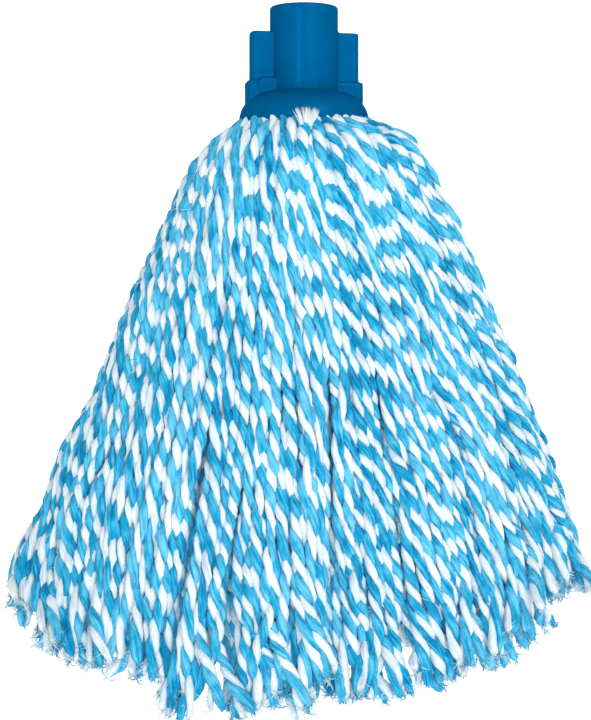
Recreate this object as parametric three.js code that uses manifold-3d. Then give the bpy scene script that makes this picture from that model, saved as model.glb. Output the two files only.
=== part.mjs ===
// String mop head: a moulded handle socket, the clamp that snaps into it, and the strings it holds.
// Millimetres, +Z up along the handle, origin at the centre of the socket's top rim.
// The strings are two-ply yarns folded in half over the clamp. Those that hang together are grouped
// in bundles: an outer and an inner ring of hinged bundles round one fixed core.
import * as THREE from 'three';
import { mergeVertices } from 'three/addons/utils/BufferGeometryUtils.js';
import Module from 'manifold-3d';

// Socket tube and its threaded bore
const TUBE_RADIUS = 15;
const BORE_RADIUS = 12;
const BORE_BOTTOM = -36;
const EDGE = 0.4;
const ROUND_SEGMENTS = 40;
const THREAD_PITCH = 4.5;
const THREAD_TURNS = 3;
const THREAD_SECTION = 1.1;
const THREAD_BOTTOM = -24;
const THREAD_STEPS_PER_TURN = 16;
const THREAD_SIDES = 6;

// Dome that covers the folded yarn
const DOME_RADIUS = 28.5;
const DOME_TOP = -37.6;
const DOME_BASE = -50;
const RIM_BOTTOM = -51.5;
const DOME_STEPS = 6;
const WALL = 2.2;
const FLOOR_BOTTOM = -39.6;

// Hollow wings on both sides of the tube, and the wider feet they stand on
const WING_TOP = -11.2;
const WING_REACH = 24;
const WING_HALF_THICK = 4.6;
const FOOT_TOP = -32.9;
const FOOT_BOTTOM = -46;
const FOOT_REACH = 25.8;
const FOOT_HALF_THICK = 5.8;
const CORNER_RADIUS = 2.2;
const BEVEL = 0.8;
const PAD_WIDTH = 8.4;
const PAD_HEIGHT = 6.4;
const PAD_CENTRE_X = 17.2;
const PAD_CENTRE_Z = -35;
const PAD_PROUD = 1.1;

// Snap legs of the clamp, and the channels inside the wings that take them
const LEG_CENTRE_X = 19.5;
const LEG_HALF_WIDTH = 1.8;
const LEG_HALF_THICK = 2.2;
const LEG_TIP = -24;
const LEG_SLIT_BOTTOM = -44;
const LEG_SLIT_HALF = 0.5;
const BARB_HALF_THICK = 2.9;
const BARB_BOTTOM = -29;
const BARB_TIP_HALF = 1.3;
const CHANNEL_TOP = -13.4;
const CLEARANCE = 0.4;

// Clamp plate under the folded yarn, with a lug on each side that carries a leg
const PLATE_RADIUS = 19;
const PLATE_TOP = -49.2;
const PLATE_THICK = 2.2;
const PLATE_SKIRT_BOTTOM = -54.5;
const LUG_INNER_X = 12;
const CONE_RADIUS = 7;
const CONE_TIP_RADIUS = 3;
const CONE_BOTTOM = -62;

// Crown: the folded middles of the yarns, held between dome and clamp, with a lip under the rim
// where every yarn bends outwards
const LIP_INNER_RADIUS = 20.9;
const LIP_RADIUS = 31.8;
const LIP_BOTTOM = -56.5;
const LIP_CHAMFER = 1.5;

// Skirt of strings: hinge ring under the rim, and the ellipse that the lower ends spread to
const HINGE_RADIUS = 28.5;
const HINGE_Z = -54;
const SKIRT_HALF_WIDTH = 131;
const SKIRT_HALF_DEPTH = 80;
const SIDE_END_Z = -268;
const FRONT_END_Z = -296;
const SPREAD_POWER = 0.72;
const SECTORS = 12;
const FACETS_PER_SECTOR = 3;
const STATIONS = 7;
const STATION_POWER = 1.6;
const NECK_SHARE = 0.03;
const INNER_FIRST_STATION = 2;
const OUTER_NECK_THICK = 3;
const OUTER_THICK = 11;
const INNER_NECK_THICK = 4;
const INNER_THICK = 24;
const BUNDLE_GAP = 0.6;

// Core: the strings that hang straight down in the middle
const CORE_TOP = -63;
const CORE_TOP_HALF = [15, 12];
const CORE_BOTTOM = -284;
const CORE_BOTTOM_HALF = [84, 40];
const CORE_SIDES = 24;
const CORE_STATIONS = 4;

const PLASTIC = { color: 0x0568a6, roughness: 0.42, metalness: 0 };
const CLAMP_PLASTIC = { color: 0x04588f, roughness: 0.5, metalness: 0 };
const YARN = { color: 0x88cfeb, roughness: 0.95, metalness: 0 };

const wasm = await Module();
wasm.setup();

// A closed geometry as a solid that can be joined and cut
function solid(geometry) {
  const bare = geometry.clone();
  bare.deleteAttribute('normal');
  bare.deleteAttribute('uv');
  const merged = mergeVertices(bare, 1e-4);
  const vertProperties = new Float32Array(merged.attributes.position.array);
  const triVerts = new Uint32Array(merged.index.array);
  return new wasm.Manifold(new wasm.Mesh({ numProp: 3, vertProperties, triVerts }));
}

// The solid's vertices and triangles as a geometry
function geometryOf(manifold) {
  const mesh = manifold.getMesh();
  const geometry = new THREE.BufferGeometry();
  geometry.setAttribute('position', new THREE.BufferAttribute(mesh.vertProperties, 3));
  geometry.setIndex(new THREE.BufferAttribute(mesh.triVerts, 1));
  geometry.computeVertexNormals();
  return geometry;
}

// A solid of revolution about Z from a profile of [radius, z] pairs, listed upwards on the outside
function turned(profile) {
  const points = profile.map(([radius, z]) => new THREE.Vector2(radius, z));
  const geometry = new THREE.LatheGeometry(points, ROUND_SEGMENTS);
  geometry.rotateX(Math.PI / 2);
  return solid(geometry);
}

// An upright block: the outline in XY, from z = low to z = high, with softened ends
function upright(outline, low, high, bevel) {
  const settings = {
    depth: high - low - 2 * bevel,
    steps: 1,
    curveSegments: 4,
    bevelEnabled: bevel > 0,
    bevelSize: bevel,
    bevelOffset: -bevel,
    bevelThickness: bevel,
    bevelSegments: 2,
  };
  const geometry = new THREE.ExtrudeGeometry(outline, settings);
  geometry.translate(0, 0, low + bevel);
  return solid(geometry);
}

// A rectangle with rounded corners, centred at (x, y)
function roundedRectangle(x, y, halfWidth, halfHeight, radius) {
  const shape = new THREE.Shape();
  const [left, right, low, high] = [x - halfWidth, x + halfWidth, y - halfHeight, y + halfHeight];
  shape.moveTo(left + radius, low);
  shape.lineTo(right - radius, low);
  shape.absarc(right - radius, low + radius, radius, -Math.PI / 2, 0);
  shape.lineTo(right, high - radius);
  shape.absarc(right - radius, high - radius, radius, 0, Math.PI / 2);
  shape.lineTo(left + radius, high);
  shape.absarc(left + radius, high - radius, radius, Math.PI / 2, Math.PI);
  shape.lineTo(left, low + radius);
  shape.absarc(left + radius, low + radius, radius, Math.PI, 1.5 * Math.PI);
  return shape;
}

function box(halfX, halfY, low, high, x) {
  const geometry = new THREE.BoxGeometry(2 * halfX, 2 * halfY, high - low);
  geometry.translate(x, 0, (low + high) / 2);
  return solid(geometry);
}

// Points of the dome's quarter ellipse, from its base up, drawn in by inset
function domeArc(inset) {
  const points = [];
  for (let i = 0; i <= DOME_STEPS; i += 1) {
    const angle = (Math.PI / 2) * (1 - i / DOME_STEPS);
    const radius = TUBE_RADIUS + (DOME_RADIUS - TUBE_RADIUS - inset) * Math.sin(angle);
    points.push([radius, DOME_BASE + (DOME_TOP - DOME_BASE - inset) * Math.cos(angle)]);
  }
  return points;
}

class Helix extends THREE.Curve {
  getPoint(share, target = new THREE.Vector3()) {
    const angle = 2 * Math.PI * THREAD_TURNS * share;
    const z = THREAD_BOTTOM + THREAD_PITCH * THREAD_TURNS * share;
    return target.set(BORE_RADIUS * Math.cos(angle), BORE_RADIUS * Math.sin(angle), z);
  }
}

// The round ridge of the female thread, half sunk in the bore's wall
function threadRidge() {
  const section = new THREE.Shape();
  for (let i = 0; i < THREAD_SIDES; i += 1) {
    const angle = (2 * Math.PI * i) / THREAD_SIDES;
    const point = [THREAD_SECTION * Math.cos(angle), THREAD_SECTION * Math.sin(angle)];
    if (i === 0) section.moveTo(...point);
    else section.lineTo(...point);
  }
  section.closePath();
  const steps = THREAD_TURNS * THREAD_STEPS_PER_TURN;
  return solid(new THREE.ExtrudeGeometry(section, { steps, extrudePath: new Helix() }));
}

// One side's wing, foot and the rounded pad on one of the foot's faces; side is +1 or -1.
// The pad is on the front of the left foot and on the back of the right one.
function wingOutside(side) {
  const wing = roundedRectangle(side * WING_REACH / 2, 0, WING_REACH / 2, WING_HALF_THICK, CORNER_RADIUS);
  const foot = roundedRectangle(side * FOOT_REACH / 2, 0, FOOT_REACH / 2, FOOT_HALF_THICK, CORNER_RADIUS);
  const padHalf = PAD_WIDTH / 2;
  const pad = roundedRectangle(0, 0, padHalf, PAD_HEIGHT / 2, CORNER_RADIUS + EDGE);
  const padSolid = upright(pad, 0, FOOT_HALF_THICK + PAD_PROUD, PAD_PROUD / 2)
    .rotate([-90 * side, 0, 0])
    .translate([side * PAD_CENTRE_X, 0, PAD_CENTRE_Z]);
  return upright(wing, FOOT_BOTTOM, WING_TOP, BEVEL)
    .add(upright(foot, FOOT_BOTTOM, FOOT_TOP, BEVEL))
    .add(padSolid);
}

// The channel inside a wing: a slot for the leg, wider above the ledge where the barbs catch
function wingChannel(side) {
  const x = side * LEG_CENTRE_X;
  const halfX = LEG_HALF_WIDTH + CLEARANCE;
  const ledge = BARB_BOTTOM - CLEARANCE;
  const slot = box(halfX, LEG_HALF_THICK + CLEARANCE, DOME_BASE, ledge, x);
  const pocket = box(halfX, BARB_HALF_THICK + CLEARANCE, ledge - EDGE, CHANNEL_TOP, x);
  return slot.add(pocket);
}

function socketBody() {
  const outside = turned([
    [0, RIM_BOTTOM],
    [DOME_RADIUS, RIM_BOTTOM],
    ...domeArc(0),
    [TUBE_RADIUS, -EDGE],
    [TUBE_RADIUS - EDGE, 0],
    [0, 0],
  ]);
  const bore = turned([
    [0, BORE_BOTTOM],
    [BORE_RADIUS, BORE_BOTTOM],
    [BORE_RADIUS, -EDGE],
    [BORE_RADIUS + 2 * EDGE, EDGE],
    [0, EDGE],
  ]);
  const cavity = turned([
    [0, RIM_BOTTOM - 1],
    [DOME_RADIUS - WALL, RIM_BOTTOM - 1],
    ...domeArc(WALL).filter(([, z]) => z < FLOOR_BOTTOM),
    [0, FLOOR_BOTTOM],
  ]);
  return outside
    .add(wingOutside(1))
    .add(wingOutside(-1))
    .subtract(bore)
    .subtract(cavity)
    .subtract(wingChannel(1))
    .subtract(wingChannel(-1))
    .add(threadRidge());
}

// A split leg with a barb on each half, drawn in the YZ plane and as wide as the channel allows
function snapLeg(side) {
  const half = [
    [LEG_HALF_THICK, PLATE_TOP - PLATE_THICK / 2],
    [LEG_HALF_THICK, BARB_BOTTOM],
    [BARB_HALF_THICK, BARB_BOTTOM + EDGE],
    [BARB_TIP_HALF, LEG_TIP],
    [LEG_SLIT_HALF, LEG_TIP],
    [LEG_SLIT_HALF, LEG_SLIT_BOTTOM],
  ];
  const mirrored = half.map(([y, z]) => [-y, z]).reverse();
  const outline = new THREE.Shape([...half, ...mirrored].map(([y, z]) => new THREE.Vector2(y, z)));
  const geometry = new THREE.ExtrudeGeometry(outline, { depth: 2 * LEG_HALF_WIDTH, bevelEnabled: false });
  geometry.translate(0, 0, -LEG_HALF_WIDTH);
  geometry.rotateX(Math.PI / 2);
  geometry.rotateZ(Math.PI / 2);
  geometry.translate(side * LEG_CENTRE_X, 0, 0);
  return solid(geometry);
}

// The lug that joins one leg to the plate, through the gap between the folded yarns
function lug(side) {
  const outerX = LEG_CENTRE_X + LEG_HALF_WIDTH;
  const halfX = (outerX - LUG_INNER_X) / 2;
  const centreX = (side * (outerX + LUG_INNER_X)) / 2;
  return box(halfX, LEG_HALF_THICK, PLATE_TOP - PLATE_THICK, PLATE_TOP, centreX);
}

function yarnClamp() {
  const plateBottom = PLATE_TOP - PLATE_THICK;
  const plate = turned([
    [0, CONE_BOTTOM],
    [CONE_TIP_RADIUS, CONE_BOTTOM],
    [CONE_RADIUS, plateBottom],
    [PLATE_RADIUS - PLATE_THICK, plateBottom],
    [PLATE_RADIUS - PLATE_THICK, PLATE_SKIRT_BOTTOM],
    [PLATE_RADIUS - EDGE, PLATE_SKIRT_BOTTOM],
    [PLATE_RADIUS, PLATE_SKIRT_BOTTOM + EDGE],
    [PLATE_RADIUS, PLATE_TOP - EDGE],
    [PLATE_RADIUS - EDGE, PLATE_TOP],
    [0, PLATE_TOP],
  ]);
  return plate.add(lug(1)).add(lug(-1)).add(snapLeg(1)).add(snapLeg(-1));
}

// Folded yarn under the dome, with a way through it for each leg
function yarnCrown() {
  const top = FLOOR_BOTTOM - CLEARANCE;
  const inset = WALL + CLEARANCE;
  const lipTop = RIM_BOTTOM - CLEARANCE;
  const body = turned([
    [0, PLATE_TOP + CLEARANCE],
    [PLATE_RADIUS + CLEARANCE, PLATE_TOP + CLEARANCE],
    [PLATE_RADIUS + CLEARANCE, LIP_BOTTOM + LIP_CHAMFER],
    [LIP_INNER_RADIUS, LIP_BOTTOM],
    [LIP_RADIUS - LIP_CHAMFER, LIP_BOTTOM],
    [LIP_RADIUS, LIP_BOTTOM + LIP_CHAMFER],
    [LIP_RADIUS, lipTop - LIP_CHAMFER],
    [LIP_RADIUS - LIP_CHAMFER, lipTop],
    [DOME_RADIUS - inset, lipTop],
    ...domeArc(inset).filter(([, z]) => z < top),
    [0, top],
  ]);
  const [halfX, halfY] = [LEG_HALF_WIDTH + CLEARANCE, LEG_HALF_THICK + CLEARANCE];
  const way = (side) => box(halfX, halfY, LIP_BOTTOM, DOME_TOP, side * LEG_CENTRE_X);
  return body.subtract(way(1)).subtract(way(-1));
}

// A closed body through equal, even rings of points, listed anticlockwise as seen from the last ring.
// Each end is closed by strips between the ring's two halves, so a curved wedge closes cleanly.
function loft(rings) {
  const count = rings[0].length;
  const positions = [];
  const indices = [];
  rings.flat().forEach((point) => positions.push(point.x, point.y, point.z));
  for (let r = 0; r + 1 < rings.length; r += 1) {
    for (let i = 0; i < count; i += 1) {
      const a = r * count + i;
      const b = r * count + ((i + 1) % count);
      indices.push(a, b, b + count, a, b + count, a + count);
    }
  }
  const last = (rings.length - 1) * count;
  for (let i = 0; i + 1 < count / 2; i += 1) {
    const [a, b, c, d] = [i, i + 1, count - 2 - i, count - 1 - i];
    indices.push(a, c, b, a, d, c);
    indices.push(last + a, last + b, last + c, last + a, last + c, last + d);
  }
  const geometry = new THREE.BufferGeometry();
  geometry.setAttribute('position', new THREE.Float32BufferAttribute(positions, 3));
  geometry.setIndex(indices);
  geometry.computeVertexNormals();
  return geometry;
}

// Share of a string's drop at one station of the skirt, closer together near the hinge ring
function shareAt(station) {
  return NECK_SHARE + (1 - NECK_SHARE) * (station / STATIONS) ** STATION_POWER;
}

// How thick a ring of bundles is at this share of the drop
function outerThickness(share) {
  return THREE.MathUtils.lerp(OUTER_NECK_THICK, OUTER_THICK, Math.min(1, share / 0.25));
}

function innerThickness(share) {
  return THREE.MathUtils.lerp(INNER_NECK_THICK, INNER_THICK, share);
}

// A point of the skirt: bearing round the ring, share of the drop, and depth below the outer surface.
// Every string stays in the upright plane of its bearing, so bundles swing out clear of each other.
function skirtPoint(bearing, share, depth) {
  const [cos, sin] = [Math.cos(bearing), Math.sin(bearing)];
  const outward = new THREE.Vector2(
    (SKIRT_HALF_WIDTH - HINGE_RADIUS) * cos,
    (SKIRT_HALF_DEPTH - HINGE_RADIUS) * sin,
  );
  const inward = outward.clone().setLength(depth);
  const plan = outward.multiplyScalar(share ** SPREAD_POWER).sub(inward);
  const endZ = SIDE_END_Z + (FRONT_END_Z - SIDE_END_Z) * sin ** 2;
  return new THREE.Vector3(
    HINGE_RADIUS * cos + plan.x,
    HINGE_RADIUS * sin + plan.y,
    HINGE_Z + (endZ - HINGE_Z) * share,
  );
}

// The point moved half the bundle gap square to its own upright plane; turn is +1 or -1
function offPlane(point, bearing, turn) {
  const along = new THREE.Vector2(
    (SKIRT_HALF_WIDTH - HINGE_RADIUS) * Math.cos(bearing),
    (SKIRT_HALF_DEPTH - HINGE_RADIUS) * Math.sin(bearing),
  ).setLength(BUNDLE_GAP / 2);
  return point.add(new THREE.Vector3(-along.y * turn, along.x * turn, 0));
}

// One sector of the skirt between two depths, from the given station down to the ends
function bundle(sector, firstStation, nearDepth, farDepth) {
  const start = (sector - 0.5) * (2 * Math.PI / SECTORS);
  const step = 2 * Math.PI / (SECTORS * FACETS_PER_SECTOR);
  const rings = [];
  for (let station = STATIONS; station >= firstStation; station -= 1) {
    const share = shareAt(station);
    const outer = [];
    const inner = [];
    for (let facet = 0; facet <= FACETS_PER_SECTOR; facet += 1) {
      const bearing = start + step * facet;
      const near = skirtPoint(bearing, share, nearDepth(share));
      const far = skirtPoint(bearing, share, farDepth(share));
      if (facet === 0) [near, far].forEach((point) => offPlane(point, bearing, 1));
      if (facet === FACETS_PER_SECTOR) [near, far].forEach((point) => offPlane(point, bearing, -1));
      outer.push(near);
      inner.unshift(far);
    }
    rings.push([...outer, ...inner]);
  }
  return loft(rings);
}

function outerBundle(sector) {
  return bundle(sector, 0, () => 0, outerThickness);
}

function innerBundle(sector) {
  const near = (share) => outerThickness(share) + BUNDLE_GAP;
  const far = (share) => near(share) + innerThickness(share);
  return bundle(sector, INNER_FIRST_STATION, near, far);
}

function coreStrands() {
  const rings = [];
  for (let station = CORE_STATIONS; station >= 0; station -= 1) {
    const share = station / CORE_STATIONS;
    const halfX = THREE.MathUtils.lerp(CORE_TOP_HALF[0], CORE_BOTTOM_HALF[0], share);
    const halfY = THREE.MathUtils.lerp(CORE_TOP_HALF[1], CORE_BOTTOM_HALF[1], share);
    const z = THREE.MathUtils.lerp(CORE_TOP, CORE_BOTTOM, share);
    const ring = [];
    for (let i = 0; i < CORE_SIDES; i += 1) {
      const angle = (2 * Math.PI * i) / CORE_SIDES;
      ring.push(new THREE.Vector3(halfX * Math.cos(angle), halfY * Math.sin(angle), z));
    }
    rings.push(ring);
  }
  return loft(rings);
}

const group = new THREE.Group();

function addPart(name, geometry, finish) {
  const mesh = new THREE.Mesh(geometry, new THREE.MeshStandardMaterial(finish));
  mesh.name = name;
  group.add(mesh);
}

addPart('socket_body', geometryOf(socketBody()), PLASTIC);
addPart('yarn_clamp', geometryOf(yarnClamp()), CLAMP_PLASTIC);
addPart('yarn_crown', geometryOf(yarnCrown()), YARN);
addPart('core_strands', coreStrands(), YARN);
for (let sector = 0; sector < SECTORS; sector += 1) {
  const number = String(sector + 1).padStart(2, '0');
  addPart(`outer_strands_${number}`, outerBundle(sector), YARN);
  addPart(`inner_strands_${number}`, innerBundle(sector), YARN);
}

export default group;
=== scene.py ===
"""String mop head: a moulded blue handle socket over a skirt of twisted two-ply yarns, blue and white.
The yarns' paths are laid out round the skirt, then pushed apart until they rest on each other.
Lengths are in metres, except where a name ends in _MM or a comment says mm."""

import math

import bpy
import numpy as np
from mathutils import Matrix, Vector


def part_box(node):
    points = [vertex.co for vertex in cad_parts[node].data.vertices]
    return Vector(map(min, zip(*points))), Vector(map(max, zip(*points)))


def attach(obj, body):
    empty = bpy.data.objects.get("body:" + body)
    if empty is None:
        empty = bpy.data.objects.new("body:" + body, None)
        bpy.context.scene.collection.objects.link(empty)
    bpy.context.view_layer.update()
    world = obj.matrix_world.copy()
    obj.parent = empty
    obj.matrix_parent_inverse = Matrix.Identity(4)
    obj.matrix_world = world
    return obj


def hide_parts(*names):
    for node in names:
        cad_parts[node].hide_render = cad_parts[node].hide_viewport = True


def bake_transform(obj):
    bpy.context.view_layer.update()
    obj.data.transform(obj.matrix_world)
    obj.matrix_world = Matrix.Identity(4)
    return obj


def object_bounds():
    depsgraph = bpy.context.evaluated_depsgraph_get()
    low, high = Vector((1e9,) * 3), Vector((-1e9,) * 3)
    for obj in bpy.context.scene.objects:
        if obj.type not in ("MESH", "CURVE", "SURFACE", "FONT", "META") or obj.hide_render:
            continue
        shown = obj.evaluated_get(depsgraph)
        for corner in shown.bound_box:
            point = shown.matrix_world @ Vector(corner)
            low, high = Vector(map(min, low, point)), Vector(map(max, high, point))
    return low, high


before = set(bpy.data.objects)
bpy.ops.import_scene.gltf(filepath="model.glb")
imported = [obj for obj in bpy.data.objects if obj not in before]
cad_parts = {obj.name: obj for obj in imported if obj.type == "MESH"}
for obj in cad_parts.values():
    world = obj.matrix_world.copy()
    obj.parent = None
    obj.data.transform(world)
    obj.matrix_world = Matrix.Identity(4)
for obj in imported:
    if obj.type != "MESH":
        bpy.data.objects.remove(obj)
CAD_BOX = [list(corner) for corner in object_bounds()]
MM = 0.001
TURN = 2 * math.pi
SEED = 11
random = np.random.default_rng(SEED)

# ---------------------------------------------------------------- sizes
# Camera, as in the photograph
SENSOR_MM = 36
LENS_MM = 102.3
CAMERA_YAW = math.radians(-10)
CAMERA_DISTANCE = 0.9
CAMERA_ASIDE = -3.7 * MM
CAMERA_HEIGHT = -155 * MM

# Socket, as in the CAD model
TUBE_RADIUS = 15 * MM
BORE_RADIUS = 12 * MM
TUBE_FOOT = -36.5 * MM
DOME_RADIUS = 28.5 * MM
DOME_BASE = -50 * MM
DOME_HEIGHT = 12.4 * MM
RIM_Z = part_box("socket_body")[0].z
MOULDED_VOXEL = 0.5 * MM
# Points this near to a round surface are moved onto it, except at the socket's top edge
NEAR_ROUND = 0.35 * MM
TOP_EDGE = 1 * MM

# Skirt of yarns
SECTORS = 12
HINGE_RADIUS = 28.5 * MM
SKIRT_HALF = (131 * MM, 80 * MM)
SIDE_END_Z = -266 * MM
FRONT_END_Z = -293 * MM
SPREAD_POWER = 0.72
OUTER_YARNS = 200
INNER_YARNS = 98
CORE_YARNS = 32
# The outer yarns lie in layers. A layer comes to the surface at its share of the drop
LAYERS = (0, 2, 1, 3, 1, 2)
LAYER_STEP = 3.4 * MM
LAYER_RELEASE = (0.001, 0.22, 0.5, 0.9)
RIM_GAP = 1.4 * MM
BULGE = 4.2 * MM
BULGE_AT = 0.04
WANDER_FROM = 0.02
# The fold of a yarn: (radius, or None for the yarn's own place in the clamp's ring, height over the rim), mm
FOLD = ((7, 8.4), (14, 9.0), (19.6, 7.6), (None, 4.0), (None, 0.6), (None, -1.6))
FOLD_SINK = 0.35
# Points on a path: as laid out, closer together near the rim, and while the yarns settle
PATH_POINTS = 90
PATH_CROWDING = 1.5
FIRST_SKIRT_POINT = 3
CONTROL_POINTS = 64

# How yarns of the outer and inner rings differ from each other
OUTER_JITTER, INNER_JITTER, CORE_JITTER = 0.3, 0.4, 0.4
OUTER_WANDER, INNER_WANDER = 0.04, 0.06
OUTER_END_DEPTH_MM, INNER_END_DEPTH_MM = 1.2, (0.5, 9)
OUTER_EXIT_MM, OUTER_EXIT_STEP_MM, INNER_EXIT = 24.4, 0.9, 21.6 * MM
OUTER_LENGTH_MM, INNER_LENGTH_MM = 2.4, 3
INNER_STEPS_DEEP, INNER_RELEASE = 3.9, 0.9

# The core hangs straight down inside the skirt
CORE_DEPTH, CORE_END_DEPTH, CORE_EXIT = 15 * MM, 20 * MM, 21.4 * MM
CORE_RELEASE = 3
CORE_LENGTH_MM = (-2, 5)
CORE_HALF = (78 * MM, 34 * MM)
CORE_LEAST_SPREAD = 0.03
CORE_FIRST_POINT = 9
CORE_STRAIGHT_AT = 0.3

# Pushing the yarns apart: shares of their length, and widths as shares of a yarn's
SETTLE_ROUNDS = 40
SEARCH_EVERY = 4
SEARCH_REACH = 2.2
PUSH = 0.42
MOST_PUSH = 1.2 * MM
PULL_BACK = 0.03
SETTLE_SOFTENING = 0.25
FREE_FROM, FREE_AT, FULL_WIDTH_AT = 0.1, 0.17, 0.4
WIDTH_AT_RIM, WIDTH_GROWTH = 0.62, 0.26
LAST_SOFTENING = 8

# Seen from FRONT_BEARING, the skirt's two sides stand out from the even shape: (share of the drop, mm)
FRONT_BEARING = math.radians(260)
RIGHT_SIDE = (
    (0, 7.5), (0.02, 10), (0.1, 5.2), (0.25, 4.6), (0.45, 0), (0.7, -0.5), (0.82, -1), (0.9, -3.5), (1, -5))
LEFT_SIDE = (
    (0, -2), (0.02, -2.5), (0.1, 0), (0.26, -3), (0.45, -6.5), (0.6, -7), (0.71, -1.5), (0.84, -4.5),
    (0.94, -0.5), (1, -3))
# How far the hem is raised or lowered round the skirt: (degrees from the left side through the front, mm)
HEM = (
    (0, 12), (12, 10), (24, 6), (32, -2), (38, -4), (47, 0), (63, 1), (70, -8), (82, -7), (92, 6), (112, 1),
    (123, 10), (138, 2), (146, 10), (152, 12), (159, 20), (180, 15), (200, 8), (240, -3), (280, 3),
    (320, -4), (344, 6), (360, 13))

# A yarn: two plies twisted round each other
YARN_RADIUS = 2.35 * MM
TWIST_PITCH = 15.8 * MM
PITCH_SPREAD = (0.78, 1.36)
# Slow changes along a yarn are given as (wavelength in mm, size)
PITCH_DRIFT = ((130, 0.17), (57, 0.15), (31, 0.08))
OFFSET_WAVES = ((37, 0.1), (11, 0.08))
SWELL_WAVES = ((46, 0.1), (15, 0.07), (6.5, 0.045))
# Towards the end the twist relaxes and the plies open
UNTWIST_MM = (2, 18)
LEAST_TWIST, TWIST_GROWTH = 0.3, 0.7
OPENING_REACH = 13 * MM
MOST_OPENING, OPENING_SPREAD = 0.8, 1.3
PLY_OFFSET = 1.25 * MM
PLY_RADIAL = 1.35 * MM
PLY_TANGENT = 1.72 * MM
RINGS = 165
END_RINGS_MM = (3.4, 2.2, 1.2, 0.5)
# Its thickness: a blunt tip, and fuller by these shares near the rim and near the end
TIP_LENGTH = 2.6 * MM
TIP_LEAST = 0.05
TOP_FULLNESS, TOP_FULL_MM = 0.2, (35, 80)
END_FULLNESS, END_FULL_MM = 0.2, (6, 30)
TIP_THICKNESS, TIP_GROWTH, TIP_GROWTH_REACH = 0.8, 0.2, 6 * MM
# Its cross-section: lumps that grow ragged at the end, and a profile of three strands
LUMP_SMOOTHING = 3
RAGGED, RAGGED_AT_END, RAGGED_REACH = 0.1, 0.25, 12 * MM
STRANDS, STRAND_DEPTH, STRAND_TWIST = 3, 0.09, 0.4
# Coordinates for the material, round and along a ply. Each ply and loose fibre has a place of its own
FIBRE_RADIUS = 1.6 * MM
FIBRE_TWIST = 0.65
PLY_SHIFT = 0.05
LOOSE_SHIFT = 0.013

# Loose fibres. Each kind: how many on a yarn, at which rings counted from the end,
# (shortest, longest, thinnest, thickest) in mm, spread of direction and curl
FIBRE_RINGS, FIBRE_SIDES = 6, 4
FIBRE_FOOT_MM = (0.6, 0.9)
FIBRE_SHORTENING = 0.35
FIBRE_TAPER = 1.08
END_FIBRES = (22, (2, 8), (1.8, 4.6, 0.12, 0.26), 0.5, 1.6)
STRAY_FIBRES = (5, (4, RINGS - 30), (4, 10, 0.1, 0.2), 0.22, 0.7)
# The yarn end that fans out in front of the dome
TUFT_FIBRES, TUFT_RINGS, TUFT_SIDES, TUFT_LANES = 96, 9, 5, 6
TUFT_FOOT = RIM_Z - 6.5 * MM
TUFT_RISE_MM = (9.6, 10.8)
TUFT_HAIR_MM = (0.3, 0.5)
TUFT_TAPER = 1.06

# Waves of the paths, small at the top. Slow ones also differ in size from yarn to yarn
WAVE_SIZE = 2.6 * MM
SLOW_WAVES = ((190, 0.7), (90, 0.45))
QUICK_WAVES = ((41, 0.24), (23, 0.1))
WAVE_AT_TOP, WAVE_GROWTH = 0.15, 0.85
WAVE_FROM, WAVE_FULL = 0.06, 0.2
# The ends curl: (size in mm, reach from the end in mm, power of its fade). Few yarns also hook
CURLS = ((8, 42, 1.5), (3, 14, 1))
HOOK_MM, MOST_HOOK_MM, HOOK_REACH = 4, 17, 32 * MM
# Sideways and outwards: strength, and how far an end may curl that way
SIDEWAYS, OUTWARDS = (1.0, 1), (0.5, 4 * MM)
# The ends lean together in clumps: (waves round the hem, mm, phase)
CLUMPS = ((17, 1.8, 0.4), (29, 1.3, 2.1), (43, 0.7, 4.0))
CLUMP_REACH = 60 * MM

# The pieces
FULLNESS = {"blue": 1.12, "white": 0.95}
SIDES = {"outer": 9, "inner": 7, "core": 6}

# Floor and light
FLOOR_GAP = 0.035
COVE_FRONT, COVE_DEPTH, COVE_RADIUS, COVE_HALF, COVE_HEIGHT = -3.5, 1.4, 0.8, 4.0, 4.0
COVE_STEPS = 13
COVE_GLOW = 0.8
WORLD_STRENGTH = 0.16


# ---------------------------------------------------------------- camera
def add_camera():
    data = bpy.data.cameras.new("camera")
    data.sensor_width = SENSOR_MM
    data.lens = LENS_MM
    camera = bpy.data.objects.new("camera", data)
    bpy.context.scene.collection.objects.link(camera)
    look = (-math.sin(CAMERA_YAW), math.cos(CAMERA_YAW))
    camera.location = (
        look[1] * CAMERA_ASIDE - look[0] * CAMERA_DISTANCE,
        -look[0] * CAMERA_ASIDE - look[1] * CAMERA_DISTANCE,
        CAMERA_HEIGHT,
    )
    camera.rotation_euler = (math.radians(90), 0, CAMERA_YAW)
    bpy.context.scene.camera = camera


add_camera()


# ---------------------------------------------------------------- small helpers
def smoothstep(value, low, high):
    t = np.clip((value - low) / (high - low), 0, 1)
    return t * t * (3 - 2 * t)


def unit(vectors):
    return vectors / (np.linalg.norm(vectors, axis=-1, keepdims=True) + 1e-12)


def lengths_along(paths):
    step = np.linalg.norm(np.diff(paths, axis=1), axis=2)
    return np.concatenate([np.zeros((len(paths), 1)), np.cumsum(step, axis=1)], axis=1)


def resample(paths, count, ends_mm=()):
    """The same paths with count points each: evenly spaced, then at the given distances from the end."""
    along = lengths_along(paths)
    ends = np.array([*ends_mm, 0]) * MM
    out = np.empty((len(paths), count, 3))
    for i, path in enumerate(paths):
        last = along[i, -1] - ends
        wanted = np.concatenate([np.linspace(0, last[0], count - len(ends) + 1), last[1:]])
        for axis in range(3):
            out[i, :, axis] = np.interp(wanted, along[i], path[:, axis])
    return out


def soften(paths, rounds, share=0.5):
    for _ in range(rounds):
        middle = (paths[:, :-2] + paths[:, 2:]) / 2
        paths[:, 1:-1] += share * (middle - paths[:, 1:-1])
    return paths


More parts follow.
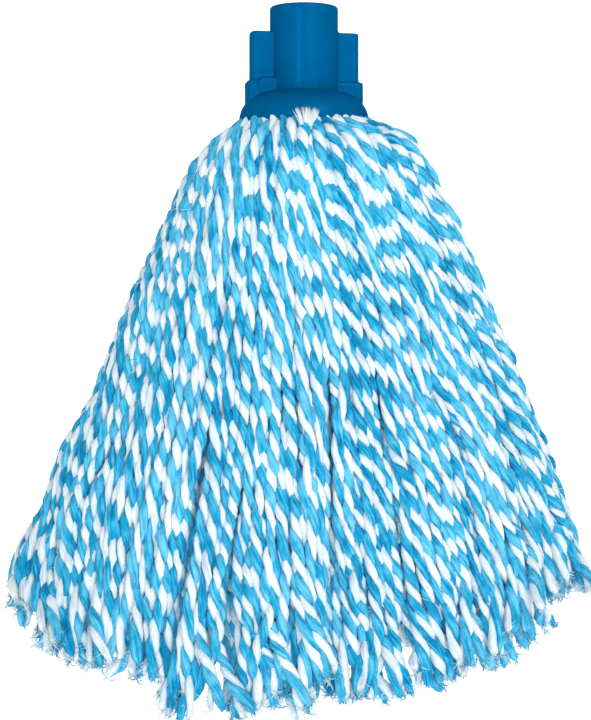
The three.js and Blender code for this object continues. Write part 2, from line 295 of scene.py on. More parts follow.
def slow_noise(along, waves, spread=0.3):
    """One smooth random curve a row: a sum of sines, each given as (wavelength in mm, size)."""
    count = len(along)
    total = np.zeros_like(along)
    for wavelength, size in waves:
        stretch = random.uniform(1 - spread, 1 + spread, (count, 1))
        phase = random.uniform(0, TURN, (count, 1))
        total += size * np.sin(TURN * along / (wavelength * MM * stretch) + phase)
    return total


# ---------------------------------------------------------------- yarn paths
def even_bearings(count, jitter):
    """Bearings round the skirt that are evenly spaced along its lower edge."""
    angle = np.linspace(0, TURN, 1441)
    step = np.hypot(SKIRT_HALF[0] * np.sin(angle), SKIRT_HALF[1] * np.cos(angle))
    along = np.concatenate([[0], np.cumsum((step[1:] + step[:-1]) / 2)])
    share = (np.arange(count) + random.uniform(-jitter, jitter, count)) / count
    return np.interp((share % 1) * along[-1], along, angle)


def side_shape(turned, share):
    """How far the surface stands out from the even skirt, at each side."""
    to_right = np.sin(turned - FRONT_BEARING)
    right = np.interp(share, *zip(*RIGHT_SIDE)) * np.clip(to_right, 0, 1) ** 2
    left = np.interp(share, *zip(*LEFT_SIDE)) * np.clip(-to_right, 0, 1) ** 2
    return (right + left) * MM


def folded_start(cos, sin, exit_radius, depth):
    """The yarn's fold: over the clamp's plate under the dome, down through the ring and out under the rim."""
    points = []
    for radius, level in FOLD:
        r = exit_radius if radius is None else radius * MM
        points.append(np.stack([r * cos, r * sin, RIM_Z + level * MM - FOLD_SINK * depth], axis=1))
    return np.stack(points, axis=1)


def skirt_paths(bearing, wander, layer_depth, release, end_depth, exit_radius, length_change):
    """Centrelines that come down out of the clamp's ring, bend out under the rim and fall as the skirt."""
    share = np.linspace(0, 1, PATH_POINTS) ** PATH_CROWDING
    turned = bearing[:, None] + wander[:, None] * smoothstep(share, WANDER_FROM, 1)
    cos, sin = np.cos(turned), np.sin(turned)
    half = np.array(SKIRT_HALF) - YARN_RADIUS - HINGE_RADIUS
    plan_x, plan_y = half[0] * cos, half[1] * sin
    plan = np.hypot(plan_x, plan_y)
    hem = np.interp((np.degrees(turned[:, -1] - FRONT_BEARING) + 90) % 360, *zip(*HEM)) * MM
    end_z = SIDE_END_Z + (FRONT_END_Z - SIDE_END_Z) * sin**2 + (hem + length_change)[:, None]
    top_z = RIM_Z - RIM_GAP
    bulge = BULGE * (share / BULGE_AT) * np.exp(1 - share / BULGE_AT)
    u = plan * share**SPREAD_POWER + bulge + side_shape(turned, share)
    z = top_z + (end_z - top_z) * share
    du, dz = np.gradient(u, axis=1), np.gradient(z, axis=1)
    size = np.hypot(du, dz)
    depth = layer_depth[:, None] * (1 - smoothstep(share, 0, release[:, None]))
    depth = depth + end_depth[:, None] * smoothstep(share, WANDER_FROM, 1.0)
    u, z = u + depth * dz / size, z - depth * du / size
    x = HINGE_RADIUS * cos + u * plan_x / plan
    y = HINGE_RADIUS * sin + u * plan_y / plan
    skirt = np.stack([x, y, z], axis=2)
    start = folded_start(np.cos(bearing), np.sin(bearing), exit_radius, layer_depth)
    return np.concatenate([start, skirt[:, FIRST_SKIRT_POINT:]], axis=1)


def core_paths(bearing):
    """The yarns that hang straight down in the middle and fill the underside."""
    ones = np.ones(CORE_YARNS)
    core = skirt_paths(
        bearing, 0 * ones, CORE_DEPTH * ones, CORE_RELEASE * ones, CORE_END_DEPTH * ones, CORE_EXIT * ones,
        random.normal(*CORE_LENGTH_MM, CORE_YARNS) * MM,
    )
    spread = np.sqrt(random.uniform(CORE_LEAST_SPREAD, 1, CORE_YARNS))
    end_x = CORE_HALF[0] * spread * np.cos(bearing)
    end_y = CORE_HALF[1] * spread * np.sin(bearing)
    end = np.stack([end_x, end_y, core[:, -1, 2]], axis=1)
    share = np.linspace(0, 1, core.shape[1])
    first = share[CORE_FIRST_POINT]
    fall = np.clip((share - first) / (1 - first), 0, 1)[None, :, None]
    line = core[:, CORE_FIRST_POINT][:, None] * (1 - fall) + end[:, None] * fall
    mix = smoothstep(share, first / 2, CORE_STRAIGHT_AT)[None, :, None]
    return core * (1 - mix) + line * mix


def side_frames(paths):
    """Unit vectors sideways and outwards, square to the yarns."""
    along = unit(np.gradient(paths, axis=1))
    outward = unit(paths * np.array([1, 1, 0]))
    side = unit(np.cross(along, outward))
    return side, np.cross(side, along)


def end_curls(count, left):
    """How far each yarn's end curls to one side, at the given lengths left to its end."""
    curl = 0
    for size, reach, power in CURLS:
        fade = (1 - smoothstep(left, 0, reach * MM)) ** power
        curl = curl + random.normal(0, size, (count, 1)) * MM * fade
    hook = np.clip(HOOK_MM * random.normal(0, 1, (count, 1)) ** 3, -MOST_HOOK_MM, MOST_HOOK_MM) * MM
    return curl + hook * (1 - smoothstep(left, 0, HOOK_REACH)) ** 2


def add_waves(paths):
    """Slow sideways and inward waves, small at the top and larger towards the ends, which curl."""
    side, outward = side_frames(paths)
    along = lengths_along(paths)
    share = along / along[:, -1:]
    left = along[:, -1:] - along
    bearing = np.arctan2(paths[:, -1, 1] / SKIRT_HALF[1], paths[:, -1, 0] / SKIRT_HALF[0])[:, None]
    pull = sum(size * np.sin(waves * bearing + phase) for waves, size, phase in CLUMPS)
    pull = np.where(np.arange(len(paths))[:, None] < OUTER_YARNS, pull, -pull)
    paths = paths + side * (pull * MM * (1 - smoothstep(left, 0, CLUMP_REACH)))[:, :, None]
    growth = WAVE_AT_TOP + WAVE_GROWTH * share
    for axis, (strength, furthest) in ((side, SIDEWAYS), (outward, OUTWARDS)):
        sizes = random.normal(0, 1, (len(paths), 1))
        wave = slow_noise(along, SLOW_WAVES) * sizes + slow_noise(along, QUICK_WAVES)
        wave = wave * WAVE_SIZE * growth * smoothstep(share, WAVE_FROM, WAVE_FULL)
        curl = np.minimum(end_curls(len(paths), left), furthest)
        paths = paths + axis * (wave + curl)[:, :, None] * strength
    return paths


def near_pairs(points, reach):
    """Pairs of points closer than about reach, found by sorting them into cells."""
    cell = np.floor(points / reach).astype(np.int64)
    cell -= cell.min(0) - 1
    size = cell.max(0) + 2
    key = (cell[:, 0] * size[1] + cell[:, 1]) * size[2] + cell[:, 2]
    order = np.argsort(key, kind="stable")
    sorted_key = key[order]
    first, second = [], []
    for dx, dy, dz in np.ndindex(3, 3, 3):
        shift = ((dx - 1) * size[1] + dy - 1) * size[2] + dz - 1
        if shift < 0:
            continue
        low = np.searchsorted(sorted_key, key + shift, "left")
        count = np.searchsorted(sorted_key, key + shift, "right") - low
        a = np.repeat(np.arange(len(points)), count)
        start = np.repeat(low - np.concatenate([[0], np.cumsum(count)[:-1]]), count)
        b = order[start + np.arange(len(a))]
        keep = a < b if shift == 0 else np.ones(len(a), bool)
        first.append(a[keep])
        second.append(b[keep])
    return np.concatenate(first), np.concatenate(second)


def settle(paths):
    """Pushes crossing yarns apart until they rest on each other, while each stays near its own path."""
    count, points = paths.shape[:2]
    target = paths.copy()
    share = np.linspace(0, 1, points)
    loose = np.tile(smoothstep(share, FREE_FROM, FREE_AT), count)[:, None]
    squeeze = WIDTH_AT_RIM + WIDTH_GROWTH * smoothstep(share, FREE_FROM, FULL_WIDTH_AT)
    width = np.tile(2 * YARN_RADIUS * squeeze, count)
    owner = np.repeat(np.arange(count), points)
    for turn in range(SETTLE_ROUNDS):
        flat = paths.reshape(-1, 3)
        if turn % SEARCH_EVERY == 0:
            a, b = near_pairs(flat, SEARCH_REACH * YARN_RADIUS)
            keep = owner[a] != owner[b]
            a, b = a[keep], b[keep]
        gap = flat[b] - flat[a]
        distance = np.linalg.norm(gap, axis=1) + 1e-9
        over = np.clip((width[a] + width[b]) / 2 - distance, 0, None)
        push = gap * (over / distance * PUSH)[:, None]
        move = np.zeros_like(flat)
        for axis in range(3):
            move[:, axis] -= np.bincount(a, push[:, axis], len(flat))
            move[:, axis] += np.bincount(b, push[:, axis], len(flat))
        size = np.linalg.norm(move, axis=1, keepdims=True) + 1e-12
        move *= np.minimum(1, MOST_PUSH / size)
        flat = flat + move * loose
        flat += (target.reshape(-1, 3) - flat) * PULL_BACK
        paths = soften(flat.reshape(count, points, 3), 1, SETTLE_SOFTENING)
    return paths


def make_paths():
    """All yarn centrelines, their sector, and which ring and layer they belong to."""
    bearing = even_bearings(OUTER_YARNS, OUTER_JITTER)
    layer = np.resize(LAYERS, OUTER_YARNS)
    outer = skirt_paths(
        bearing,
        random.normal(0, OUTER_WANDER, OUTER_YARNS),
        layer * LAYER_STEP,
        np.array(LAYER_RELEASE)[layer],
        np.abs(random.normal(0, OUTER_END_DEPTH_MM, OUTER_YARNS)) * MM,
        (OUTER_EXIT_MM - OUTER_EXIT_STEP_MM * layer) * MM,
        random.normal(0, OUTER_LENGTH_MM, OUTER_YARNS) * MM,
    )
    inner_bearing = even_bearings(INNER_YARNS, INNER_JITTER)
    ones = np.ones(INNER_YARNS)
    inner = skirt_paths(
        inner_bearing,
        random.normal(0, INNER_WANDER, INNER_YARNS),
        INNER_STEPS_DEEP * LAYER_STEP * ones,
        INNER_RELEASE * ones,
        random.uniform(*INNER_END_DEPTH_MM, INNER_YARNS) * MM,
        INNER_EXIT * ones,
        random.normal(0, INNER_LENGTH_MM, INNER_YARNS) * MM,
    )
    core_bearing = even_bearings(CORE_YARNS, CORE_JITTER)
    paths = np.concatenate([outer, inner, core_paths(core_bearing)])
    ring = np.array(["outer"] * OUTER_YARNS + ["inner"] * INNER_YARNS + ["core"] * CORE_YARNS)
    bearings = np.concatenate([bearing, inner_bearing, core_bearing])
    sector = np.round(bearings / (TURN / SECTORS)).astype(int) % SECTORS
    paths = settle(add_waves(resample(paths, CONTROL_POINTS)))
    paths = resample(soften(resample(paths, 2 * RINGS), LAST_SOFTENING), RINGS, END_RINGS_MM)
    return paths, sector, ring, layer


# ---------------------------------------------------------------- yarn meshes
def carried_frames(paths):
    """Tangents, and normals carried along each path without twisting."""
    tangent = unit(np.gradient(paths, axis=1))
    normal = np.empty_like(paths)
    normal[:, 0] = unit(np.cross(tangent[:, 0], [0.3, 0.2, 1.0]))
    for k in range(1, paths.shape[1]):
        previous = normal[:, k - 1]
        along = np.sum(previous * tangent[:, k], axis=1, keepdims=True)
        normal[:, k] = unit(previous - along * tangent[:, k])
    return tangent, normal, np.cross(tangent, normal)


def tube_faces(tube_count, rings, sides, first):
    """Quads along the tubes, and a cap at each end, as two index arrays."""
    k, j = np.meshgrid(np.arange(rings - 1), np.arange(sides), indexing="ij")
    a = k * sides + j
    b = k * sides + (j + 1) % sides
    quad = np.stack([a, b, b + sides, a + sides], axis=-1).reshape(-1, 4)
    cap = np.stack([np.arange(sides)[::-1], (rings - 1) * sides + np.arange(sides)])
    base = first + np.arange(tube_count)[:, None, None] * rings * sides
    return [(base + quad[None]).reshape(-1, 4), (base + cap[None]).reshape(-1, sides)]


class Tubes:
    """Tubes of one ring and side count, collected as arrays: (tube, ring, side, xyz)."""

    def __init__(self, verts, fibre, tone):
        self.verts = verts
        self.fibre = np.broadcast_to(fibre, verts.shape)
        self.tone = np.broadcast_to(tone[:, None, None], verts.shape[:3])


def mesh_object(name, tube_sets):
    """One smooth mesh of several sets of tubes, with the yarn's own coordinates for its material."""
    faces, first = [], 0
    for tubes in tube_sets:
        count, rings, sides = tubes.verts.shape[:3]
        faces += tube_faces(count, rings, sides, first)
        first += count * rings * sides
    mesh = bpy.data.meshes.new(name)
    loops = np.concatenate([part.ravel() for part in faces]).astype(np.int32)
    total = np.concatenate([np.full(len(part), part.shape[1]) for part in faces]).astype(np.int32)
    start = np.concatenate([[0], np.cumsum(total)[:-1]]).astype(np.int32)
    mesh.vertices.add(first)
    verts = np.concatenate([tubes.verts.reshape(-1, 3) for tubes in tube_sets])
    mesh.vertices.foreach_set("co", verts.astype(np.float32).ravel())
    mesh.loops.add(len(loops))
    mesh.loops.foreach_set("vertex_index", loops)
    mesh.polygons.add(len(total))
    mesh.polygons.foreach_set("loop_start", start)
    mesh.polygons.foreach_set("use_smooth", np.ones(len(total), bool))
    mesh.update(calc_edges=True)
    fibre = np.concatenate([tubes.fibre.reshape(-1, 3) for tubes in tube_sets]).astype(np.float32)
    tone = np.concatenate([tubes.tone.ravel() for tubes in tube_sets]).astype(np.float32)
    mesh.attributes.new("fibre", "FLOAT_VECTOR", "POINT").data.foreach_set("vector", fibre.ravel())
    mesh.attributes.new("tone", "FLOAT", "POINT").data.foreach_set("value", tone)
    piece = bpy.data.objects.new(name, mesh)
    bpy.context.scene.collection.objects.link(piece)
    return piece


def hair_tubes(lines, radius, sides, along, tone):
    """Round tubes along the given lines. Along is each ring's place along its hair, for the material."""
    _, normal, binormal = carried_frames(lines)
    angle = TURN * np.arange(sides) / sides
    circle = normal[:, :, None] * np.cos(angle)[:, None] + binormal[:, :, None] * np.sin(angle)[:, None]
    verts = lines[:, :, None] + circle * radius[:, :, None, None]
    along = (along + LOOSE_SHIFT * np.arange(len(lines))[:, None])[:, :, None]
    along = np.broadcast_to(along, verts.shape[:3])
    return Tubes(verts, np.stack([circle[..., 0] * MM, circle[..., 1] * MM, along], axis=3), tone)


class Yarns:
    """The twist of all yarns, from which the plies and loose fibres are made."""

    def __init__(self, paths):
        self.paths = paths
        self.along = lengths_along(paths)
        self.length = self.along[:, -1]
        self.left = self.length[:, None] - self.along
        count = len(paths)
        untwist = smoothstep(self.left, UNTWIST_MM[0] * MM, UNTWIST_MM[1] * MM)
        pitch = TWIST_PITCH * random.uniform(*PITCH_SPREAD, (count, 1))
        drift = 1 + slow_noise(self.along, PITCH_DRIFT)
        rate = -TURN / pitch * drift * (LEAST_TWIST + TWIST_GROWTH * untwist)
        step = np.diff(self.along, axis=1, prepend=0)
        self.turn = np.cumsum(rate * step, axis=1) + random.uniform(0, TURN, (count, 1))
        _, self.normal, self.binormal = carried_frames(paths)
        closed = smoothstep(self.left, 0, OPENING_REACH)
        self.opening = (1 - closed) * random.uniform(0, MOST_OPENING, (count, 1))
        self.tone = random.uniform(0, 1, count)

    def ply(self, side):
        """Centreline and frame of one ply of every yarn: side 0 is blue and side 1 is white."""
        turn = self.turn + side * math.pi
        out = self.normal * np.cos(turn)[:, :, None] + self.binormal * np.sin(turn)[:, :, None]
        offset = PLY_OFFSET * (1 + slow_noise(self.along, OFFSET_WAVES) + OPENING_SPREAD * self.opening)
        centre = self.paths + out * offset[:, :, None]
        tangent = unit(np.gradient(centre, axis=1))
        out = unit(out - np.sum(out * tangent, axis=2, keepdims=True) * tangent)
        across = np.cross(tangent, out)
        return {"centre": centre, "tangent": tangent, "out": out, "across": across, "turn": turn}

    def thickness(self, chosen, fullness):
        """How thick the chosen yarns' plies are at each ring, as a share of the usual size."""
        along, left = self.along[chosen], self.left[chosen]
        swell = 1 + slow_noise(along, SWELL_WAVES)
        blunt = np.sqrt(np.clip(1 - (1 - np.clip(left / TIP_LENGTH, 0, 1)) ** 2, TIP_LEAST, 1))
        top = 1 + TOP_FULLNESS * (1 - smoothstep(along, TOP_FULL_MM[0] * MM, TOP_FULL_MM[1] * MM))
        end = 1 + END_FULLNESS * (1 - smoothstep(left, END_FULL_MM[0] * MM, END_FULL_MM[1] * MM))
        tip = TIP_THICKNESS + TIP_GROWTH * smoothstep(left, 0, TIP_GROWTH_REACH)
        return fullness * swell * blunt * top * end * tip

    def ply_tubes(self, ply, chosen, sides, fullness):
        """The chosen yarns' plies as soft irregular tubes with blunt ends."""
        count = len(chosen)
        thick = self.thickness(chosen, fullness)
        lumps = random.normal(0, 1, (count, RINGS, sides))
        for _ in range(LUMP_SMOOTHING):
            lumps[:, 1:-1] = (lumps[:, :-2] + 2 * lumps[:, 1:-1] + lumps[:, 2:]) / 4
        ragged = RAGGED + RAGGED_AT_END * (1 - smoothstep(self.left[chosen], 0, RAGGED_REACH))
        angle = TURN * np.arange(sides) / sides
        turn = ply["turn"][chosen][:, :, None]
        strand = np.cos(STRANDS * angle + random.uniform(0, TURN, (count, 1, 1)) + STRAND_TWIST * turn)
        lumps = 1 + ragged[:, :, None] * lumps + STRAND_DEPTH * strand
        radial = (PLY_RADIAL * thick)[:, :, None] * np.cos(angle) * lumps
        sideways = (PLY_TANGENT * thick)[:, :, None] * np.sin(angle) * lumps
        verts = ply["centre"][chosen][:, :, None] + ply["out"][chosen][:, :, None] * radial[..., None]
        verts = verts + ply["across"][chosen][:, :, None] * sideways[..., None]
        around = angle + FIBRE_TWIST * turn
        along = self.along[chosen][:, :, None] + PLY_SHIFT * chosen[:, None, None]
        fibre = np.stack(np.broadcast_arrays(
            FIBRE_RADIUS * np.cos(around), FIBRE_RADIUS * np.sin(around), along), axis=3)
        return Tubes(verts, fibre, self.tone[chosen])

    def fibres(self, ply, chosen, each, rings_back, size, spread, curl):
        """Fine tapered fibres that leave the chosen yarns' plies, as the lists of loose fibres describe."""
        owners = np.repeat(chosen, each)
        count = len(owners)
        back = random.integers(*rings_back, count)
        swing = random.normal(0, spread, (2, count, 1))
        out, across = ply["out"][owners, -back], ply["across"][owners, -back]
        foot = (out * random.normal(0, FIBRE_FOOT_MM[0], (count, 1))
                + across * random.normal(0, FIBRE_FOOT_MM[1], (count, 1)))
        base = ply["centre"][owners, -back] + foot * MM
        heading = unit(ply["tangent"][owners, -back] + out * swing[0] + across * swing[1])
        length = random.uniform(*size[:2], (count, 1)) * MM
        sidestep = unit(np.cross(heading, random.normal(0, 1, (count, 3))))
        bend = random.uniform(-curl, curl, (count, 1))
        share = np.linspace(0, 1, FIBRE_RINGS)[None]
        forward = length * (share - FIBRE_SHORTENING * np.abs(bend) * share**3)
        lines = base[:, None] + heading[:, None] * forward[:, :, None]
        lines = lines + sidestep[:, None] * (length * bend * share**2)[:, :, None]
        radius = random.uniform(*size[2:], (count, 1)) * MM * (FIBRE_TAPER - share**2)
        return hair_tubes(lines, radius, FIBRE_SIDES, length * share, self.tone[owners])

    def frayed_ends(self, ply, chosen):
        """A tuft of untwisted fibres at each end, and stray ones further up."""
        return [self.fibres(ply, chosen, *kind) for kind in (END_FIBRES, STRAY_FIBRES)]


# ---------------------------------------------------------------- materials
def new_material(name):
    material = bpy.data.materials.new(name)
    material.use_nodes = True
    nodes, links = material.node_tree.nodes, material.node_tree.links
    return material, nodes, links, nodes["Principled BSDF"]


def add_noise(nodes, links, vector, scale, detail):
    noise = nodes.new("ShaderNodeTexNoise")
    noise.inputs["Scale"].default_value = scale
    noise.inputs["Detail"].default_value = detail
    links.new(vector, noise.inputs["Vector"])
    return noise.outputs["Fac"]


def weighted(nodes, links, value, weight, added=None):
    """The value times its weight, plus what was added so far."""
    node = nodes.new("ShaderNodeMath")
    node.operation = "MULTIPLY_ADD"
    node.inputs[1].default_value = weight
    node.inputs[2].default_value = 0
    links.new(value, node.inputs[0])
    if added is not None:
        links.new(added, node.inputs[2])
    return node.outputs["Value"]


def add_ramp(nodes, links, value, stops):
    ramp = nodes.new("ShaderNodeValToRGB")
    elements = ramp.color_ramp.elements
    while len(elements) < len(stops):
        elements.new(0.5)
    for element, (position, colour) in zip(elements, stops):
        element.position = position
        element.color = (*colour, 1)
    links.new(value, ramp.inputs["Fac"])
    return ramp.outputs["Color"]


def add_bump(nodes, links, shader, height, strength, distance):
    bump = nodes.new("ShaderNodeBump")
    bump.inputs["Strength"].default_value = strength
    bump.inputs["Distance"].default_value = distance
    links.new(height, bump.inputs["Height"])
    links.new(bump.outputs["Normal"], shader.inputs["Normal"])


def yarn_material(name, stops):
    """Soft spun fibre: coarse and fine streaks along the ply, and slow changes of tone along the yarn. The
    streaks also drive the bump, so their dark end is partly the fibres' own tone and partly painted shade in
    the fibre grooves.
    """
    material, nodes, links, shader = new_material(name)
    shader.inputs["Roughness"].default_value = 0.95
    shader.inputs["Specular IOR Level"].default_value = 0.08
    shader.inputs["Sheen Weight"].default_value = 0.06
    shader.inputs["Sheen Roughness"].default_value = 0.6
    place = nodes.new("ShaderNodeAttribute")
    place.attribute_name = "fibre"
    tone = nodes.new("ShaderNodeAttribute")
    tone.attribute_name = "tone"
    squeeze = nodes.new("ShaderNodeMapping")
    squeeze.inputs["Scale"].default_value = (1.0, 1.0, 0.1)
    links.new(place.outputs["Vector"], squeeze.inputs["Vector"])
    coarse = add_noise(nodes, links, squeeze.outputs["Vector"], 950, 2)
    fine = add_noise(nodes, links, squeeze.outputs["Vector"], 3600, 3)
    slow = add_noise(nodes, links, place.outputs["Vector"], 150, 2)
    mixed = weighted(nodes, links, tone.outputs["Fac"], 0.12)
    mixed = weighted(nodes, links, slow, 0.34, mixed)
    mixed = weighted(nodes, links, coarse, 0.5, mixed)
    mixed = weighted(nodes, links, fine, 0.3, mixed)
    # painted shade: the streak noise also drives the bump, so the colour is darkest in its grooves
    links.new(add_ramp(nodes, links, mixed, stops), shader.inputs["Base Color"])
    height = weighted(nodes, links, fine, 0.5, weighted(nodes, links, coarse, 1.0))
    add_bump(nodes, links, shader, height, 0.8, 0.5 * MM)
    return material


def plastic_material(name, dark, light):
    """Moulded polypropylene: faint mottling, a fine orange-peel surface and uneven gloss."""
    material, nodes, links, shader = new_material(name)
    shader.inputs["Specular IOR Level"].default_value = 0
    shader.inputs["Metallic"].default_value = 0.1
    shader.inputs["Specular Tint"].default_value = (0.2, 0.6, 0.9, 1)
    place = nodes.new("ShaderNodeTexCoord")
    cloud = add_noise(nodes, links, place.outputs["Object"], 70, 5)
    grain = add_noise(nodes, links, place.outputs["Object"], 1400, 3)
    mixed = weighted(nodes, links, grain, 0.3, weighted(nodes, links, cloud, 0.7))
    links.new(add_ramp(nodes, links, mixed, ((0.35, dark), (0.65, light))), shader.inputs["Base Color"])
    gloss = nodes.new("ShaderNodeMapRange")
    gloss.inputs["To Min"].default_value = 0.24
    gloss.inputs["To Max"].default_value = 0.36
    links.new(cloud, gloss.inputs["Value"])
    links.new(gloss.outputs["Result"], shader.inputs["Roughness"])
    add_bump(nodes, links, shader, grain, 0.15, 0.12 * MM)
    return material


# The dark stops are partly the fibres' own tone and partly painted shade for the grooves between fibres
YARN_LOOKS = {
    "blue": yarn_material("blue_yarn", (
        (0.46, (0.0001, 0.165, 0.375)), (0.59, (0.007, 0.375, 0.655)), (0.75, (0.17, 0.64, 0.89)))),
    "white": yarn_material("white_yarn", (
        (0.44, (0.5, 0.62, 0.77)), (0.6, (0.76, 0.88, 0.93)), (0.77, (0.92, 0.96, 0.98)))),
}
SOCKET = plastic_material("socket_plastic_look", (0.0003, 0.096, 0.255), (0.0004, 0.12, 0.31))
CLAMP = plastic_material("clamp_plastic_look", (0.0008, 0.085, 0.24), (0.001, 0.11, 0.3))


# ---------------------------------------------------------------- the yarns as pieces
paths, sector, ring, layer = make_paths()
yarns = Yarns(paths)
PLIES = {"blue": yarns.ply(0), "white": yarns.ply(1)}


def bend_at_hinge(piece):
    """Bakes the piece's transform into its mesh."""
    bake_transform(piece)


def yarn_piece(name, colour, kind, chosen, frayed=()):
    """One colour of the chosen yarns as a mesh, with loose fibres on the frayed yarns."""
    ply = PLIES[colour]
    sets = [yarns.ply_tubes(ply, chosen, SIDES[kind], FULLNESS[colour])]
    if len(frayed):
        sets += yarns.frayed_ends(ply, frayed)
    piece = mesh_object(name, sets)
    piece.data.materials.append(YARN_LOOKS[colour])
    return piece


# The yarns of the outermost layer are made as pieces of their own, one for each ply colour
declared = np.flatnonzero(layer == 0)
for number, yarn in enumerate(declared, 1):
    name = f"long_yarn_{number:02d}"
    pair = [yarn_piece(name, "blue", "outer", np.array([yarn])),
            yarn_piece(name + "_white_ply", "white", "outer", np.array([yarn]))]
    for piece in pair:
        bend_at_hinge(piece)

free_yarns = np.setdiff1d(np.arange(len(paths)), declared)
for kind in ("outer", "inner"):
    for home in range(SECTORS):
        inside = np.flatnonzero((ring == kind) & (sector == home))
        for colour in ("blue", "white"):
            piece = yarn_piece(f"{kind}_yarns_{colour}_{home + 1:02d}", colour, kind,
                               np.intersect1d(inside, free_yarns), inside)
            if colour == "blue":
                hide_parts(f"{kind}_strands_{home + 1:02d}")
            bend_at_hinge(piece)
core = np.flatnonzero(ring == "core")
for colour in ("blue", "white"):
    piece = yarn_piece(f"core_yarns_{colour}", colour, "core", core, core)
    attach(piece, "root")
    if colour == "blue":
        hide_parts("core_strands", "yarn_crown")


def frayed_tuft():
    """The white frayed yarn end that fans out in front of the dome, its fibres in a few lanes."""
    outward = np.array([math.cos(FRONT_BEARING), math.sin(FRONT_BEARING), 0])
    sideways = np.array([-outward[1], outward[0], 0])
    column = (TUFT_FIBRES, 1)
    share = np.linspace(0, 1, TUFT_RINGS)
    lane = np.linspace(-1, 1, TUFT_LANES)[random.integers(0, TUFT_LANES, TUFT_FIBRES)][:, None]
    across = lane + random.normal(0, 0.2, column)
    side = (1.6 + 0.7 * across + (3.5 * across - 1.2) * share + 0.3 * np.sin(5 * share + 9 * lane)) * MM
    height = random.uniform(*TUFT_RISE_MM, column) + np.cos(7 * lane) - across**2
    proud = 0.8 + 0.8 * np.sin(11 * lane) + random.uniform(0, 1, column)
    proud = proud + 2.2 * np.sin(math.pi * (0.25 + 0.55 * share))
    lines = (HINGE_RADIUS + proud * MM)[:, :, None] * outward + side[:, :, None] * sideways
    lines[:, :, 2] += TUFT_FOOT + height * MM * share
    radius = random.uniform(*TUFT_HAIR_MM, column) * MM * (TUFT_TAPER - share**3)
    tone = random.uniform(0, 1, TUFT_FIBRES)
    piece = mesh_object("frayed_tuft", [hair_tubes(lines, radius, TUFT_SIDES, lines[..., 2], tone)])
    piece.data.materials.append(YARN_LOOKS["white"])
    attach(piece, "root")


frayed_tuft()


# ---------------------------------------------------------------- socket and clamp
def round_facets(points):
    """Moves points that lie near the socket's round surfaces exactly onto them."""
    radius = np.hypot(points[:, 0], points[:, 1])
    z = points[:, 2]
    wanted = radius.copy()
    for target in (TUBE_RADIUS, BORE_RADIUS):
        on_tube = (np.abs(radius - target) < NEAR_ROUND / 2) & (z < -TOP_EDGE) & (z > TUBE_FOOT)
        wanted = np.where(on_tube, target, wanted)
    wanted = np.where((np.abs(radius - DOME_RADIUS) < NEAR_ROUND) & (z < DOME_BASE), DOME_RADIUS, wanted)
    points[:, :2] *= (wanted / np.maximum(radius, 1e-9))[:, None]
    across = (radius - TUBE_RADIUS) / (DOME_RADIUS - TUBE_RADIUS)
    up = (z - DOME_BASE) / DOME_HEIGHT
    level = np.hypot(across, up)
    on_dome = (z >= DOME_BASE) & (across > 0) & (np.abs(level - 1) * DOME_HEIGHT < 1.3 * NEAR_ROUND)
    level = np.where(on_dome, level, 1)
    new_radius = TUBE_RADIUS + (radius - TUBE_RADIUS) / level
    points[:, :2] *= np.where(on_dome, new_radius / np.maximum(radius, 1e-9), 1)[:, None]
    points[:, 2] = np.where(on_dome, DOME_BASE + (z - DOME_BASE) / level, z)
    return points


def smooth_once(points, a, b, degree):
    """Moves each point half of the way to the middle of its neighbours. Edges join points a to points b."""
    total = np.stack([
        np.bincount(a, points[b, k], len(points)) + np.bincount(b, points[a, k], len(points))
        for k in range(3)], axis=1)
    return points + 0.5 * (total / degree - points)


def moulded(node, name, material):
    """A fine copy of a CAD node with its facets rounded off and its edges softened by smoothing."""
    fine = bpy.data.objects.new(name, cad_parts[node].data.copy())
    bpy.context.scene.collection.objects.link(fine)
    modifier = fine.modifiers.new("remesh", "REMESH")
    modifier.mode, modifier.voxel_size = "VOXEL", MOULDED_VOXEL
    mesh = bpy.data.meshes.new_from_object(fine.evaluated_get(bpy.context.evaluated_depsgraph_get()))
    fine.modifiers.clear()
    fine.data = mesh
    points = np.empty(len(mesh.vertices) * 3, np.float32)
    mesh.vertices.foreach_get("co", points)
    points = points.reshape(-1, 3).astype(float)
    edges = np.empty(len(mesh.edges) * 2, np.int32)
    mesh.edges.foreach_get("vertices", edges)
    a, b = edges.reshape(-1, 2).T
    degree = (np.bincount(a, minlength=len(points)) + np.bincount(b, minlength=len(points)))[:, None]
    points = round_facets(smooth_once(points, a, b, degree))
    points = smooth_once(points, a, b, degree)
    mesh.vertices.foreach_set("co", points.astype(np.float32).ravel())
    mesh.polygons.foreach_set("use_smooth", np.ones(len(mesh.polygons), bool))
    mesh.update()
    mesh.materials.clear()
    mesh.materials.append(material)
    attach(fine, "root")
    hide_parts(node)


moulded("socket_body", "moulded_socket", SOCKET)
moulded("yarn_clamp", "moulded_clamp", CLAMP)


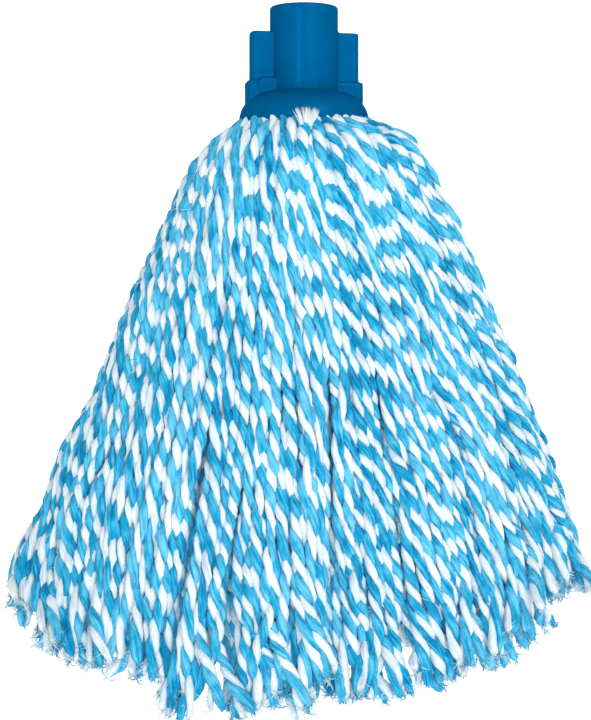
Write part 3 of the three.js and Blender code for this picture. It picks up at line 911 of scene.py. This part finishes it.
# ---------------------------------------------------------------- floor and light
def cove_material():
    material, nodes, links, shader = new_material("pale_floor")
    shader.inputs["Base Color"].default_value = (0.9, 0.9, 0.9, 1)
    shader.inputs["Roughness"].default_value = 0.9
    shader.inputs["Emission Color"].default_value = (1, 1, 1, 1)
    shader.inputs["Emission Strength"].default_value = COVE_GLOW
    return material


def add_cove():
    """A pale floor that curves up into a backdrop."""
    floor_z = CAD_BOX[0][2] - FLOOR_GAP
    profile = [(COVE_FRONT, floor_z), (COVE_DEPTH, floor_z)]
    for angle in np.linspace(0, math.pi / 2, COVE_STEPS)[1:]:
        y = COVE_DEPTH + COVE_RADIUS * math.sin(angle)
        profile.append((y, floor_z + COVE_RADIUS * (1 - math.cos(angle))))
    profile.append((COVE_DEPTH + COVE_RADIUS, floor_z + COVE_HEIGHT))
    mesh = bpy.data.meshes.new("floor")
    verts = [(side * COVE_HALF, y, z) for y, z in profile for side in (-1, 1)]
    faces = [(2 * i, 2 * i + 1, 2 * i + 3, 2 * i + 2) for i in range(len(profile) - 1)]
    mesh.from_pydata(verts, [], faces)
    mesh.polygons.foreach_set("use_smooth", np.ones(len(faces), bool))
    mesh.materials.append(cove_material())
    floor = bpy.data.objects.new("floor", mesh)
    bpy.context.scene.collection.objects.link(floor)


def add_area(name, place, size, power):
    """A square soft light that faces the middle of the object."""
    data = bpy.data.lights.new(name, "AREA")
    data.shape, data.size, data.energy = "SQUARE", size, power
    light = bpy.data.objects.new(name, data)
    bpy.context.scene.collection.objects.link(light)
    light.location = place
    light.rotation_euler = (Vector(MIDDLE) - Vector(place)).to_track_quat("-Z", "Y").to_euler()


MIDDLE = (0, 0, CAD_BOX[0][2] / 2)
add_cove()
add_area("key", (0.3, -1.5, 0.8), 1.1, 18)
add_area("glint", (-0.7, -1.33, 0.1), 0.1, 3.5)
world = bpy.data.worlds.new("studio")
bpy.context.scene.world = world
world.use_nodes = True
background = world.node_tree.nodes["Background"]
background.inputs["Color"].default_value = (1, 1, 1, 1)
background.inputs["Strength"].default_value = WORLD_STRENGTH
bpy.context.scene.view_settings.view_transform = "Standard"
